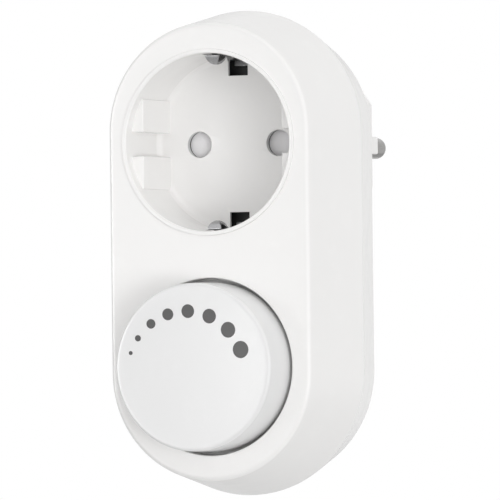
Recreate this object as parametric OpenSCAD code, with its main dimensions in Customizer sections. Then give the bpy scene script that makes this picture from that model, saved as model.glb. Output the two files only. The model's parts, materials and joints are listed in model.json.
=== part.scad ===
// Plug-in dimmer: a round-ended wall plug with an earthed socket above and a rotary dimmer below.
// Millimetres. X runs to the right seen from the front, Y into the wall, Z up.
// The origin is the centre of the plug's face, between the two pins.

/* [Body] */
// Distance from the socket axis down to the knob axis
knob_drop = 49.2; // [47.5:0.1:54]
// Width of the body at the parting line, its widest
body_w = 55.2; // [54:0.1:62]
// Height of the upper end arc's centre above the socket axis
top_rise = 2; // [0:0.1:4]
// Depth of the lower end arc's centre below the knob axis
bottom_drop = 1; // [0:0.1:4]
// Depth of the body from the front face to the back face
body_depth = 39; // [38:0.1:46]
// Depth of the parting line behind the front face
parting_depth = 21.5; // [20:0.1:25]
// Draft of the front shell's side walls in degrees
front_draft = 10.5; // [6:0.1:12]
// Draft of the rear shell's side walls in degrees
rear_draft = 13; // [6:0.1:14]
// Radius of the rounded front edge
front_round = 1; // [0.6:0.1:3]
// Radius of the rounded rear edge
rear_round = 5.8; // [3:0.1:7]
// Wall thickness of both shells
wall = 2.2; // [1.6:0.1:2.5]
// Height of the tongue that locates the shells on each other
tongue_h = 1.6; // [1:0.1:2.5]
// Clearance between the tongue and its rebate
tongue_gap = 0.12; // [0.05:0.01:0.3]

/* [Socket] */
// Inner diameter of the socket recess
recess_d = 39; // [38.5:0.1:39.5]
// Depth of the recess floor behind the front face
recess_depth = 17.4; // [17:0.1:18.5]
// Wall thickness of the socket cup
cup_wall = 0.95; // [0.8:0.05:1.1]
// Gap between the cup's lip and the front shell
lip_seam = 0.15; // [0.1:0.01:0.3]
// How far the lip stands proud of the front face
lip_proud = 0.3; // [0.1:0.05:0.6]
// Radius of the lip's inner edge
lip_round = 0.5; // [0.2:0.05:0.6]
// Thickness of the recess floor
floor_t = 2; // [1.6:0.1:2.4]
// Radius of the flange round the recess floor
flange_r = 22.4; // [22:0.1:23]
// Distance between the two pin holes
pin_pitch = 19; // [18.5:0.1:19.5]
// Diameter of the pin holes in the floor
pin_hole_d = 5.8; // [5.2:0.1:6.2]
// Distance of the guide blocks' inner faces from the middle
block_x = 16.6; // [16.2:0.1:17]
// Height of the channel between two guide blocks
channel_h = 5.3; // [4.8:0.1:6]
// Height of one guide block
block_h = 7.25; // [6:0.05:8]
// Depth of the guide blocks' front ends
block_front = 2.7; // [1.5:0.1:5]
// Width of the earth clip's windows in the floor
window_w = 4.7; // [4.4:0.1:5.4]
// Distance of the windows' inner edges from the middle
window_z = 15.1; // [14.5:0.1:16]
// Thickness of the clamping fins that hold the cup
fin_t = 1.6; // [1.2:0.1:2.4]

/* [Shutter and contacts] */
// Thickness of the safety shutter
shutter_t = 1.5; // [1.2:0.1:2]
// Axial play of the shutter on each side
shutter_play = 0.1; // [0.05:0.01:0.2]
// Radius of a shutter pad
shutter_pad_r = 3.6; // [3.4:0.1:3.8]
// Radius of the shutter's pivot post
pivot_r = 1.5; // [1.2:0.1:2]
// Radial clearance of the shutter on its post
pivot_gap = 0.05; // [0.02:0.01:0.1]
// Thickness of the contact carrier inside the cup's skirt
carrier_t = 2.3; // [2:0.1:3]
// Thickness of the carrier's flange
carrier_flange_t = 1.5; // [1.2:0.1:2]
// Gap between the carrier and the cup's skirt
carrier_gap = 0.2; // [0.1:0.05:0.4]
// Wall thickness of the contact sleeves
sleeve_wall = 0.65; // [0.5:0.05:0.8]
// Clearance of the contact sleeves round a mating pin
sleeve_gap = 0.05; // [0.03:0.01:0.1]
// Width of the earth clip's strip
clip_w = 4.5; // [4:0.1:4.6]
// Thickness of the earth clip's strip
clip_t = 0.6; // [0.5:0.05:0.8]
// Distance of the clip's arms from the middle
clip_z = 19.75; // [19.6:0.05:19.8]
// Depth of the clip's noses behind the front face
nose_depth = 5.2; // [5.1:0.1:7]
// Distance of the noses' tips from the middle
nose_z = 17.1; // [17:0.1:18]

/* [Plug] */
// Length of the plug base behind the body's back face
plug_len = 17.5; // [17:0.1:18]
// Diameter of the plug base
plug_d = 36.8; // [36:0.1:37.5]
// Distance of the base's flats from the middle
plug_flat_x = 15.9; // [15.5:0.1:16.2]
// Width of the guide ribs on the flats
rib_w = 3.9; // [3.4:0.1:4.6]
// Distance from the plug's face to the end of the guide ribs
rib_stop = 2.5; // [1:0.1:4]
// Thickness of the plug's face wall
plug_wall = 3.5; // [2.5:0.1:4.5]
// Radius of the flange that holds the plug base behind the back wall
base_flange_r = 19.2; // [19:0.05:19.3]
// Thickness of that flange
base_flange_t = 1.6; // [1.2:0.1:2]
// Clearance of the plug base in the back wall
base_gap = 0.1; // [0.05:0.01:0.2]
// Radius of the hollow inside the plug base
plug_hollow_r = 13.9; // [13.5:0.1:14.1]
// Diameter of the pins
pin_d = 4.8; // [4.7:0.05:4.9]
// Length of the pins in front of the plug's face
pin_len = 19; // [18.5:0.1:19.5]
// Clearance of the pins in the plug's face wall
pin_seat_gap = 0.04; // [0.02:0.01:0.08]
// Thickness of the pins' collars and heads
collar_t = 1.5; // [1:0.1:2]
// How far the collars and heads stand out from the pins
collar_step = 0.8; // [0.6:0.05:1]
// Width of the plug's earth notches
notch_w = 6.4; // [5.8:0.1:7]
// Distance of the earth notches' floors from the middle
notch_z = 16.2; // [16:0.1:16.6]
// Width of the plug's earth strap
strap_w = 5; // [4.4:0.1:5.4]
// Thickness of the plug's earth strap
strap_t = 0.8; // [0.6:0.05:1]
// Radius of the earth link between strap and clip
link_r = 1.8; // [1.4:0.1:2.4]

/* [Dimmer knob] */
// Diameter of the knob at the front face
knob_d = 37; // [36:0.1:37.6]
// How far the knob stands out from the front face
knob_h = 9.6; // [7.5:0.1:12]
// Draft of the knob's side in degrees
knob_draft = 1; // [0.5:0.1:5]
// Radius of the knob's front edge
knob_round = 0.7; // [0.4:0.1:1.5]
// Depth of the shallow dish in the knob's face
knob_dish = 0.5; // [0.3:0.05:0.9]
// Wall thickness of the knob
knob_wall = 1.8; // [1.4:0.1:2.4]
// Radial gap between the knob and its well
knob_gap = 0.95; // [0.5:0.05:1.2]
// Depth of the knob's skirt behind the front face
skirt_depth = 2.6; // [2:0.1:3]
// Depth of the well's floor
well_depth = 5.4; // [5.2:0.1:6]
// Thickness of the well's floor and ring
well_wall = 1.7; // [1.4:0.1:2]
// Radius of the hub inside the knob
hub_r = 5; // [4.4:0.1:6]

/* [Potentiometer] */
// Radius of the potentiometer's shaft
shaft_r = 3; // [2.5:0.1:3.2]
// Clearance of the shaft in its bush and of the knob on the shaft
shaft_gap = 0.05; // [0.02:0.01:0.1]
// Radius of the threaded bush
bush_r = 3.8; // [3.6:0.1:4.2]
// Clearance of the bush in the well's floor and in its nut
bush_gap = 0.1; // [0.05:0.01:0.2]
// Thickness of the fixing nut
nut_t = 1.8; // [1.4:0.1:2]
// Width of the fixing nut across its corners
nut_d = 12.4; // [11:0.1:13]
// Radius of the potentiometer's body
pot_r = 8.2; // [8:0.1:10]
// Depth of the potentiometer's body
pot_t = 7.5; // [7:0.1:9]
// Thickness of the potentiometer's can
pot_wall = 1.2; // [0.8:0.1:1.4]
// Gap between the potentiometer and the board
pot_gap = 3; // [2:0.1:4]

/* [Circuit board] */
// Thickness of the circuit board
board_t = 1.6; // [1:0.1:2]
// Width of the circuit board
board_w = 41; // [40:0.1:42]
// Distance of the board's top edge above the knob axis
board_top = 19; // [18:0.1:20]
// Gap between the board's round lower edge and the shell
board_gap = 2.4; // [1.5:0.1:3]
// Radius of the pegs that hold the board
peg_r = 1.1; // [0.8:0.1:1.4]
// Radius of the posts that carry the board
post_r = 2; // [1.8:0.1:2.4]
// Clearance of pegs and terminals in the board's holes
peg_gap = 0.1; // [0.05:0.01:0.2]
// Outer radius of the choke's core
choke_r = 8; // [7:0.1:8.2]
// Height of the choke's core
choke_h = 6; // [5:0.1:7]
// Thickness of the choke's winding
winding_t = 0.9; // [0.7:0.1:1.1]
// Radius of the fuse
fuse_r = 2.5; // [2.3:0.1:2.6]
// Length of the fuse
fuse_len = 20; // [19:0.1:21]
// Radius of the wires
wire_r = 0.9; // [0.7:0.05:1]
// Bend radius of the wires at their middle
wire_bend = 2.2; // [2:0.1:3]

/* [Screws] */
// Sideways place of the upper screws
screw_x = 15.5; // [14.8:0.1:15.6]
// Height of the upper screws above the knob axis
screw_up = 22.7; // [22.5:0.1:23.5]
// Sideways place of the lower screws
low_screw_x = 9; // [8.4:0.1:9.2]
// Depth of the lower screws below the knob axis
low_screw_drop = 14.6; // [14.2:0.1:15]
// Radius of the screw bosses
boss_r = 3.2; // [3:0.1:3.4]
// Radius of the screws
screw_r = 1.45; // [1.2:0.05:1.6]
// Radius of the screw heads
head_r = 2.6; // [2.4:0.05:2.7]
// Thickness of the screw heads
head_t = 1.6; // [1.2:0.1:2]
// Clearance of the screws and their heads
screw_gap = 0.1; // [0.05:0.01:0.2]

/* [Hidden] */
$fn = 96;

// Length by which a cut runs past a face
past = 1;
// Room between parts that only pass each other
room = 0.3;
// Places along Y and Z
plug_reach = body_depth + plug_len;
face_y = -plug_reach;
knob_z = -knob_drop;
top_z = top_rise;
bottom_z = knob_z - bottom_drop;
// Front shell's outline: half width at the parting line, sharp corner and flat of the front face
half_w = body_w / 2;
front_corner = half_w - parting_depth * tan(front_draft);
front_flat = front_corner - front_round * tan((90 - front_draft) / 2);
// Rear shell's outline, likewise
rear_corner = half_w - (body_depth - parting_depth) * tan(rear_draft);
rear_flat = rear_corner - rear_round * tan((90 - rear_draft) / 2);
rear_round_d = body_depth - rear_round;
back_in = body_depth - wall;
// Socket cup
recess_r = recess_d / 2;
cup_r = recess_r + cup_wall;
socket_hole_r = cup_r + lip_seam;
floor_back = recess_depth + floor_t;
shutter_front = floor_back + shutter_play;
shutter_back = shutter_front + shutter_t;
carrier_front = shutter_back + shutter_play;
skirt_end = carrier_front + carrier_t;
carrier_back = skirt_end + carrier_flange_t;
skirt_t = 1.4;
skirt_in = cup_r - skirt_t;
pin_x = pin_pitch / 2;
pin_r = pin_d / 2;
pin_hole_r = pin_hole_d / 2;
slot_w = window_w + room;
slot_front = nose_depth - (clip_z - nose_z) - room;
window_rim = 1.2;
window_end = flange_r - window_rim;
fin_in = cup_r + room;
sleeve_in = pin_r + sleeve_gap;
sleeve_out = sleeve_in + sleeve_wall;
sleeve_end = recess_depth + pin_len + 2 * room;
// Plug
plug_r = plug_d / 2;
plug_wall_in = plug_reach - plug_wall;
collar_r = pin_r + collar_step;
root_step = 0.35;
root_r = pin_r + root_step;
strap_d = body_depth + room;
live_head_gap = 3.5;
live_head_d = sleeve_end + live_head_gap;
// Knob and potentiometer
knob_r = knob_d / 2;
well_r = knob_r + knob_gap;
well_back = well_depth + well_wall;
knob_front_r = knob_r - knob_h * tan(knob_draft);
dish_rim = 0.4;
dish_edge = knob_front_r - knob_round - dish_rim;
dish_r = (dish_edge * dish_edge + knob_dish * knob_dish) / (2 * knob_dish);
knob_top_t = knob_wall + knob_dish;
hub_top_t = 1.2;
shaft_tip = -knob_h + knob_top_t + hub_top_t;
hub_end = skirt_depth - room;
nut_front = well_depth - nut_t;
bush_front = nut_front - room;
pot_back = well_back + pot_t;
wiper_d = well_back + pot_wall + room;
wiper_t = 1.2;
wiper_gap = 0.7;
wiper_r = pot_r - pot_wall - wiper_gap;
stop_w = 2;
stop_gap = 0.4;
// Board
board_d = pot_back + pot_gap;
board_back = board_d + board_t;
board_r = front_corner + board_d * tan(front_draft) - wall / cos(front_draft) - board_gap;
post_edge = 0.5;
post_x = board_w / 2 - post_r - post_edge;
post_dz = 9;
peg_end = board_back + 2 * room;
terminal_r = 0.45;
terminal_pitch = 4;
terminal_down = 3;
terminal_z = knob_z - terminal_down;
terminal_over = 0.8;
terminal_end = board_back + terminal_over;
// Screws
boss_over = 2.5;
boss_meet = parting_depth + boss_over;
head_land = 2;
head_d = boss_meet + head_land;
screw_hold = 11;
screw_tip = boss_meet - screw_hold;
hole_spare = 1;
screws = [
    [screw_x, knob_z + screw_up], [-screw_x, knob_z + screw_up],
    [low_screw_x, knob_z - low_screw_drop], [-low_screw_x, knob_z - low_screw_drop]
];
// Components behind the board
choke_x = -10;
choke_up = 7;
choke_z = knob_z + choke_up;
choke_in = choke_r / 2;
core_d = board_back + winding_t;
capacitor_size = [14, 11, 6];
capacitor_x = 3;
capacitor_up = 10;
capacitor_z = knob_z + capacitor_up;
sink_set = 3.6;
sink_size = [16, back_in - sink_set - board_back, 1.6];
sink_x = 3;
sink_up = 4.4;
sink_z = knob_z + sink_up;
triac_size = [10, 9, 4.4];
triac_x = 6;
triac_lift = 3;
leg_w = 0.8;
fuse_down = 6.3;
fuse_z = knob_z - fuse_down;
fuse_lift = 4.6;
fuse_d = board_back + fuse_lift;
cap_len = 5;
cap_step = 0.2;
clip_wall = 0.5;
chip_size = [8, 2, 4];
chip_down = 15;
chip_z = knob_z - chip_down;
leg_pitch = 2.5;
// Wires and solder tabs
lead_tab_t = 0.8;
tab_set = 2.4;
tab_d = carrier_back + tab_set;
tab_z = -9;
land_set = 1.6;
wire_land_z = knob_z + board_top - land_set;
line_set = 3.6;
line_d = back_in - line_set;
line_drop = 7.5;
// Shutter's ring, and its spring in a groove of the carrier
shutter_ring = 2.2;
shutter_ring_r = pivot_r + shutter_ring;
spring_wire = 0.7;
spring_step = 2.25;
spring_r = pivot_r + spring_step;
spring_set = 0.4;
spring_reach = 8;
groove_w = 1.6;
groove_end = carrier_front + spring_set + spring_wire;

// Round post along Y between two depths behind the front face
module post(r, d0, d1, x = 0, z = 0) {
    translate([x, face_y + d0, z])
        rotate([-90, 0, 0])
            cylinder(r = r, h = d1 - d0);
}

// Square block between two corners: sideways, depth behind the front face, height
module block(x0, x1, d0, d1, z0, z1) {
    translate([x0, face_y + d0, z0])
        cube([x1 - x0, d1 - d0, z1 - z0]);
}

// Slice of a disc that rounds a corner of a profile
module pie(c, r, a0, a1) {
    mid = (a0 + a1) / 2;
    reach = 2 * r;
    intersection() {
        translate(c)
            circle(r);
        translate(c)
            polygon([
                [0, 0], reach * [cos(a0), sin(a0)], reach * [cos(mid), sin(mid)], reach * [cos(a1), sin(a1)]
            ]);
    }
}

// Carries a profile (half width, depth) round the body's outline: two half turns and two straight sides
module round_outline() {
    translate([0, face_y, top_z])
        rotate([-90, 180, 0])
            rotate_extrude(angle = 180)
                children();
    translate([0, face_y, bottom_z])
        rotate([-90, 0, 0])
            rotate_extrude(angle = 180)
                children();
    translate([0, face_y, bottom_z])
        linear_extrude(height = top_z - bottom_z) {
            children();
            mirror([1, 0])
                children();
        }
}

// Half width of the front shell's outer wall, set in by t, at depth d
function front_at(d, t) = front_corner + d * tan(front_draft) - t / cos(front_draft);
// Half width of the rear shell's outer wall, set in by t, at depth d
function rear_at(d, t) = half_w - (d - parting_depth) * tan(rear_draft) - t / cos(rear_draft);

// Wall of the front shell, with the rebate for the tongue
module front_profile() {
    rebate_d = parting_depth - tongue_h;
    difference() {
        union() {
            polygon([
                [0, 0], [front_flat, 0],
                [front_flat + front_round * cos(front_draft), front_round - front_round * sin(front_draft)],
                [half_w, parting_depth], [0, parting_depth]
            ]);
            pie([front_flat, front_round], front_round, -90, -front_draft);
        }
        polygon([
            [0, wall], [front_at(wall, wall), wall],
            [front_at(rebate_d, wall), rebate_d], [front_at(rebate_d, wall / 2), rebate_d],
            [front_at(parting_depth + past, wall / 2), parting_depth + past], [0, parting_depth + past]
        ]);
    }
}

// Wall of the rear shell, with the tongue
module rear_profile() {
    in_round = rear_round - wall;
    tongue_d = parting_depth - tongue_h + tongue_gap;
    tongue_set = wall / 2 + tongue_gap;
    difference() {
        union() {
            polygon([
                [0, parting_depth], [half_w, parting_depth],
                [rear_flat + rear_round * cos(rear_draft), rear_round_d + rear_round * sin(rear_draft)],
                [rear_flat, body_depth], [0, body_depth]
            ]);
            pie([rear_flat, rear_round_d], rear_round, rear_draft, 90);
        }
        polygon([
            [0, parting_depth - past], [rear_at(parting_depth, wall), parting_depth - past],
            [rear_at(parting_depth, wall), parting_depth],
            [rear_flat + in_round * cos(rear_draft), rear_round_d + in_round * sin(rear_draft)],
            [rear_flat, back_in], [0, back_in]
        ]);
    }
    polygon([
        [front_at(tongue_d, wall), tongue_d], [front_at(tongue_d, tongue_set), tongue_d],
        [front_at(parting_depth, tongue_set), parting_depth], [rear_at(parting_depth, wall), parting_depth]
    ]);
}

// Four radial fins that clamp the cup's flange, between two depths
module fins(d0, d1) {
    for (a = [45, 135, 225, 315])
        rotate([0, a, 0])
            block(fin_in, flange_r, d0, d1, -fin_t / 2, fin_t / 2);
}

// Front cover with the socket hole, the knob's well, bosses, fins and board posts
module front_shell() {
    color("white")
    difference() {
        union() {
            round_outline()
                front_profile();
            fins(wall / 2, recess_depth);
            post(well_r + well_wall, wall / 2, well_back, 0, knob_z);
            for (s = screws)
                post(boss_r, s[1] > knob_z ? wall / 2 : well_back - wall / 2, boss_meet, s[0], s[1]);
            for (sx = [-1, 1], sz = [-1, 1]) {
                post(post_r, well_back - wall / 2, board_d, sx * post_x, knob_z + sz * post_dz);
                post(peg_r, well_back, peg_end, sx * post_x, knob_z + sz * post_dz);
            }
        }
        post(socket_hole_r, -past, wall + past);
        post(well_r, -past, well_depth, 0, knob_z);
        post(bush_r + bush_gap, well_depth - past, well_back + past, 0, knob_z);
        for (s = screws)
            post(screw_r, screw_tip - hole_spare, boss_meet + past, s[0], s[1]);
    }
}

// Back half of the housing with the hole for the plug base, bosses, fins and screw holes
module rear_shell() {
    color("whitesmoke")
    difference() {
        union() {
            round_outline()
                rear_profile();
            fins(floor_back, back_in + wall / 2);
            for (s = screws)
                post(boss_r, boss_meet, back_in + wall / 2, s[0], s[1]);
        }
        plug_form(base_gap, back_in - past, body_depth + past, body_depth + past);
        for (s = screws) {
            post(screw_r + screw_gap, boss_meet - past, body_depth, s[0], s[1]);
            post(head_r + screw_gap, head_d, body_depth + past, s[0], s[1]);
        }
    }
}

// Outline of the plug base, grown by g: a round post with two flats, each with a guide rib up to depth d2
module plug_form(g, d0, d1, d2) {
    intersection() {
        post(plug_r + g, d0, d1);
        block(-plug_flat_x - g, plug_flat_x + g, d0, d1, -plug_r - past, plug_r + past);
    }
    intersection() {
        post(plug_r + g, d0, d2);
        block(-plug_r - past, plug_r + past, d0, d2, -rib_w / 2 - g, rib_w / 2 + g);
    }
}

// Plug base: an insert with a flange behind the back wall, flats, guide ribs, earth notches and pin seats
module plug_base() {
    strap_room = 0.1;
    strap_slot_w = strap_w + 2 * strap_room;
    color("white")
    difference() {
        union() {
            plug_form(0, back_in - base_flange_t / 2, plug_reach, plug_reach - rib_stop);
            post(base_flange_r, back_in - base_flange_t, back_in);
        }
        post(plug_hollow_r, back_in - base_flange_t - past, plug_wall_in);
        for (sx = [-1, 1])
            post(root_r + pin_seat_gap, plug_wall_in - past, plug_reach + past, sx * pin_x);
        for (sz = [0, 180])
            rotate([0, sz, 0]) {
                block(-notch_w / 2, notch_w / 2, body_depth, plug_reach + past, notch_z, plug_r + past);
                block(-strap_slot_w / 2, strap_slot_w / 2, strap_d - strap_room,
                      strap_d + strap_t + strap_room, plug_hollow_r - past, notch_z + past);
            }
    }
}

// Moulded socket cup: lip, wall, floor with pin holes and windows, guide blocks and rear skirt
module socket_insert() {
    out_round = 0.25;
    lip_d = -lip_proud;
    color("white")
    difference() {
        union() {
            translate([0, face_y, 0])
                rotate([-90, 0, 0])
                    rotate_extrude() {
                        polygon([
                            [recess_r, lip_d + lip_round], [recess_r + lip_round, lip_d],
                            [cup_r - out_round, lip_d], [cup_r, lip_d + out_round],
                            [cup_r, recess_depth], [flange_r, recess_depth], [flange_r, floor_back],
                            [cup_r, floor_back], [cup_r, skirt_end], [skirt_in, skirt_end],
                            [skirt_in, floor_back], [0, floor_back], [0, recess_depth],
                            [recess_r, recess_depth]
                        ]);
                        pie([recess_r + lip_round, lip_d + lip_round], lip_round, 180, 270);
                        pie([cup_r - out_round, lip_d + out_round], out_round, 270, 360);
                    }
            for (sx = [0, 180], sz = [-1, 1])
                rotate([0, sx, 0])
                    intersection() {
                        post(recess_r + cup_wall / 2, block_front, recess_depth + floor_t / 2);
                        translate([0, 0, sz * (channel_h + block_h) / 2])
                            block(block_x, cup_r, block_front, floor_back, -block_h / 2, block_h / 2);
                    }
        }
        for (sx = [-1, 1])
            post(pin_hole_r, recess_depth - past, floor_back + past, sx * pin_x);
        for (a = [0, 180])
            rotate([0, a, 0]) {
                block(-slot_w / 2, slot_w / 2, slot_front, recess_depth, recess_r - past, cup_r + past);
                block(-window_w / 2, window_w / 2, recess_depth - past, floor_back + past,
                      window_z, window_end);
                block(-slot_w / 2, slot_w / 2, floor_back, skirt_end + past, skirt_in - past, cup_r + past);
            }
    }
}

// Rotor with two pads that close the pin holes
module safety_shutter() {
    bar_h = 4;
    color("gainsboro")
    difference() {
        union() {
            post(shutter_ring_r, shutter_front, shutter_back);
            block(-pin_x, pin_x, shutter_front, shutter_back, -bar_h / 2, bar_h / 2);
            for (sx = [-1, 1])
                post(shutter_pad_r, shutter_front, shutter_back, sx * pin_x);
        }
        post(pivot_r + pivot_gap, shutter_front - past, shutter_back + past);
    }
}

// Bent wire spring that pushes the shutter back: a ring in the carrier's groove with one straight leg
module shutter_spring() {
    wire_front = carrier_front + spring_set;
    color("silver") {
        difference() {
            post(spring_r + spring_wire / 2, wire_front, groove_end);
            post(spring_r - spring_wire / 2, wire_front - past, groove_end + past);
        }
        block(-spring_reach, -spring_r, wire_front, groove_end, -spring_wire / 2, spring_wire / 2);
    }
}

// Insulating disc behind the shutter that carries the contacts and the shutter's pivot
module contact_carrier() {
    plate_r = skirt_in - carrier_gap;
    hole_r = pin_hole_r + room;
    color("ivory")
    difference() {
        union() {
            post(plate_r, carrier_front, carrier_back);
            post(cup_r, skirt_end, carrier_back);
            post(pivot_r, floor_back, skirt_end);
        }
        for (sx = [-1, 1])
            post(hole_r, carrier_front - past, carrier_back + past, sx * pin_x);
        for (a = [0, 180])
            rotate([0, a, 0])
                block(-slot_w / 2, slot_w / 2, skirt_end - past, carrier_back + past,
                      clip_z - room, cup_r + past);
        difference() {
            post(spring_r + groove_w / 2, carrier_front - past, groove_end);
            post(spring_r - groove_w / 2, carrier_front - 2 * past, groove_end + past);
        }
        block(-spring_reach - room, -spring_r, carrier_front - past, groove_end, -groove_w / 2, groove_w / 2);
    }
}

// Slit contact sleeve on one side of the socket
module sleeve(x) {
    slit = 0.8;
    slit_set = 3;
    difference() {
        post(sleeve_out, carrier_back, sleeve_end, x);
        post(sleeve_in, carrier_back - past, sleeve_end + past, x);
        block(x - slit / 2, x + slit / 2, carrier_back + slit_set, sleeve_end + past, 0, sleeve_out + past);
    }
}

// Solder tab under a contact sleeve
module solder_tab(x) {
    tab_w = 3;
    block(x - tab_w / 2, x + tab_w / 2, tab_d - lead_tab_t / 2, tab_d + lead_tab_t / 2,
          tab_z, -(sleeve_in + sleeve_wall / 2));
}

// Contact fed by the dimmer
module live_contact() {
    color("goldenrod") {
        sleeve(-pin_x);
        solder_tab(-pin_x);
    }
}

// Contact that passes straight on from the neutral pin
module neutral_contact() {
    color("goldenrod") {
        sleeve(pin_x);
        solder_tab(pin_x);
    }
}

// Earth clip: bar behind the carrier, two arms and a rounded nose at each end
module socket_earth_clip() {
    nose_r = clip_z - nose_z;
    color("silver") {
        block(-clip_w / 2, clip_w / 2, carrier_back, carrier_back + clip_t,
              -clip_z - clip_t, clip_z + clip_t);
        for (a = [0, 180])
            rotate([0, a, 0]) {
                block(-clip_w / 2, clip_w / 2, nose_depth + nose_r - clip_t, carrier_back + clip_t,
                      clip_z, clip_z + clip_t);
                clip_nose(nose_r);
            }
    }
}

// Rounded nose on a clip's arm: the strip's end bent round, seen from the front as a half disc
module clip_nose(nose_r) {
    side_step = 0.05;
    tip_r = clip_w / 2 - side_step;
    difference() {
        intersection() {
            nose_bend(nose_r);
            post(tip_r, nose_depth - nose_r - past, nose_depth + nose_r + past, 0, nose_z + tip_r);
            block(-clip_w, clip_w, nose_depth - nose_r - past, nose_depth + nose_r + past,
                  nose_z - past, clip_z + clip_t);
        }
        nose_bend(nose_r - clip_t);
    }
}

// Bar of radius r across the clip, on the axis that its nose is bent round
module nose_bend(r) {
    translate([-clip_w, face_y + nose_depth, clip_z])
        rotate([0, 90, 0])
            cylinder(r = r, h = 2 * clip_w);
}

// Rivet that joins the socket's earth clip to the plug's earth strap
module earth_link() {
    color("silver")
        post(link_r, carrier_back + clip_t, strap_d);
}

// Earth strap of the plug: bar through the base and a side contact in each notch
module plug_earth_strap() {
    end_set = 1.2;
    contact_end = plug_reach - end_set;
    color("silver") {
        block(-strap_w / 2, strap_w / 2, strap_d, strap_d + strap_t, -notch_z - strap_t, notch_z + strap_t);
        for (a = [0, 180])
            rotate([0, a, 0])
                block(-strap_w / 2, strap_w / 2, strap_d, contact_end, notch_z, notch_z + strap_t);
    }
}

// Plug pin with a round tip, a collar behind the plug's face and a head at depth head
module plug_pin(x, head) {
    tip_share = 0.6;
    tip_round = pin_r * tip_share;
    color("silver")
    translate([x, face_y, 0])
        rotate([-90, 0, 0])
            rotate_extrude() {
                polygon([
                    [0, head], [collar_r, head], [collar_r, head + collar_t], [root_r, head + collar_t],
                    [root_r, plug_wall_in - collar_t], [collar_r, plug_wall_in - collar_t],
                    [collar_r, plug_wall_in], [root_r, plug_wall_in], [root_r, plug_reach],
                    [pin_r, plug_reach], [pin_r, plug_reach + pin_len - tip_round],
                    [pin_r - tip_round, plug_reach + pin_len], [0, plug_reach + pin_len]
                ]);
                pie([pin_r - tip_round, plug_reach + pin_len - tip_round], tip_round, 0, 90);
            }
}

// Pin on the side that the dimmer controls
module live_pin() {
    plug_pin(-pin_x, live_head_d);
}

// Pin that carries the neutral contact
module neutral_pin() {
    plug_pin(pin_x, sleeve_end);
}

// Hollow round knob with a shallow dish, a rounded edge and a hub for the shaft
module dimmer_knob() {
    top = -knob_h;
    edge_r = knob_front_r - knob_round;
    side_r = knob_front_r - knob_round + knob_round * cos(knob_draft);
    dish_steps = 1800;
    color("white")
    translate([0, face_y, knob_z])
        rotate([-90, 0, 0])
            rotate_extrude()
                difference() {
                    union() {
                        polygon([
                            [0, top], [edge_r, top],
                            [side_r, top + knob_round - knob_round * sin(knob_draft)],
                            [knob_r, 0], [knob_r, skirt_depth], [knob_r - knob_wall, skirt_depth],
                            [knob_r - knob_wall, 0], [knob_front_r - knob_wall, top + knob_top_t],
                            [hub_r, top + knob_top_t], [hub_r, hub_end], [shaft_r + shaft_gap, hub_end],
                            [shaft_r + shaft_gap, shaft_tip], [0, shaft_tip]
                        ]);
                        pie([edge_r, top + knob_round], knob_round, -90, -knob_draft);
                    }
                    translate([0, top + knob_dish - dish_r])
                        circle(dish_r, $fn = dish_steps);
                }
}

// Shaft of the potentiometer with its wiper disc and stop lug
module pot_shaft() {
    color("dimgray") {
        post(shaft_r, shaft_tip, wiper_d + wiper_t, 0, knob_z);
        post(wiper_r, wiper_d, wiper_d + wiper_t, 0, knob_z);
        block(-stop_w / 2, stop_w / 2, wiper_d + wiper_t / 2, wiper_d + 2 * wiper_t,
              knob_z, knob_z + wiper_r - stop_gap);
    }
}

// Can of the potentiometer with its threaded bush and the stop that ends the turn
module pot_body() {
    can_in = pot_r - pot_wall;
    color("darkseagreen")
    difference() {
        union() {
            post(pot_r, well_back, pot_back, 0, knob_z);
            post(bush_r, bush_front, well_back + pot_wall / 2, 0, knob_z);
        }
        difference() {
            post(can_in, well_back + pot_wall, pot_back - pot_wall, 0, knob_z);
            block(-stop_w / 2, stop_w / 2, wiper_d + wiper_t + room, pot_back,
                  knob_z - can_in - past, knob_z - shaft_r - stop_gap);
        }
        post(shaft_r + shaft_gap, bush_front - past, well_back + pot_wall + past, 0, knob_z);
    }
}

// Hexagon nut that fixes the potentiometer in the well
module pot_nut() {
    color("silver")
    difference() {
        translate([0, face_y + nut_front, knob_z])
            rotate([-90, 0, 0])
                cylinder(d = nut_d, h = nut_t, $fn = 6);
        post(bush_r + bush_gap, nut_front - past, well_depth + past, 0, knob_z);
    }
}

// Three terminals from the potentiometer through the board
module pot_terminals() {
    color("silver")
    for (i = [-1, 0, 1])
        post(terminal_r, pot_back, terminal_end, i * terminal_pitch, terminal_z);
}

// Board with a straight top and a round lower end, on its pegs
module circuit_board() {
    color("seagreen")
    difference() {
        intersection() {
            block(-board_w / 2, board_w / 2, board_d, board_back, bottom_z - board_r, knob_z + board_top);
            union() {
                post(board_r, board_d, board_back, 0, bottom_z);
                block(-board_w / 2, board_w / 2, board_d, board_back, bottom_z, knob_z + board_top);
            }
        }
        for (sx = [-1, 1], sz = [-1, 1])
            post(peg_r + peg_gap, board_d - past, board_back + past, sx * post_x, knob_z + sz * post_dz);
        for (i = [-1, 0, 1])
            post(terminal_r + peg_gap, board_d - past, board_back + past, i * terminal_pitch, terminal_z);
        for (sx = [-1, 1])
            post(boss_r + room, board_d - past, board_back + past, sx * low_screw_x, knob_z - low_screw_drop);
    }
}

// Ring core of the choke
module choke_core() {
    color("dimgray")
    difference() {
        post(choke_r, core_d, core_d + choke_h, choke_x, choke_z);
        post(choke_in, core_d - past, core_d + choke_h + past, choke_x, choke_z);
    }
}

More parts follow.
